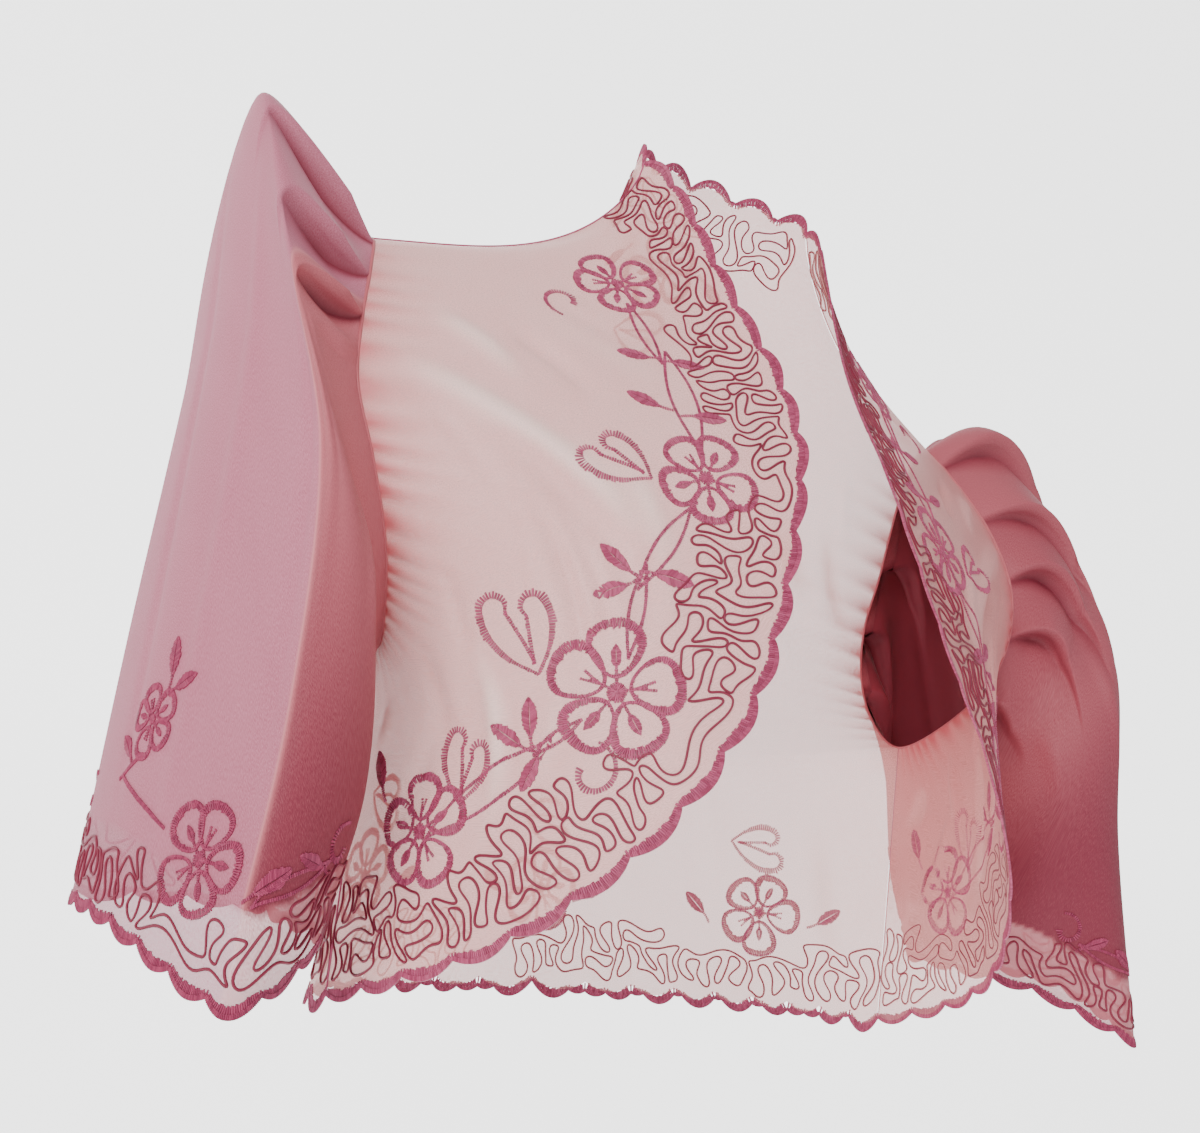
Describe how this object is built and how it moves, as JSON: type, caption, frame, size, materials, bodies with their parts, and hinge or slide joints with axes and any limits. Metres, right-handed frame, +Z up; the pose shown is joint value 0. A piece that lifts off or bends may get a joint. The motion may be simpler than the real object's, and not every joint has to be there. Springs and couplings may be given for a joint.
{
  "type": "bolero",
  "caption": "Cropped open-front bolero of sheer organza with scalloped edges and pleated butterfly sleeves, hollow in its worn form.",
  "frame": {"origin": "on the middle plane between the shoulders, at the height where the neck meets them, where the worn garment rests on the body", "axes": "+Z up, -Y the wearer's front, +X the wearer's left"},
  "size_m": [0.5501, 0.2486, 0.4274],
  "materials": {
    "organza": "sheer, soft shimmer",
    "sleeve_organza": "sheer over a lining, soft shimmer",
    "sleeve_lining": "smooth, slightly shiny"
  },
  "bodies": {
    "root": {"back_panel": "organza", "front_panel_right": "organza", "front_panel_left": "organza", "sleeve_right": "sleeve_organza", "sleeve_left": "sleeve_organza", "sleeve_lining_right": "sleeve_lining", "sleeve_lining_left": "sleeve_lining"}
  },
  "joints": []
}
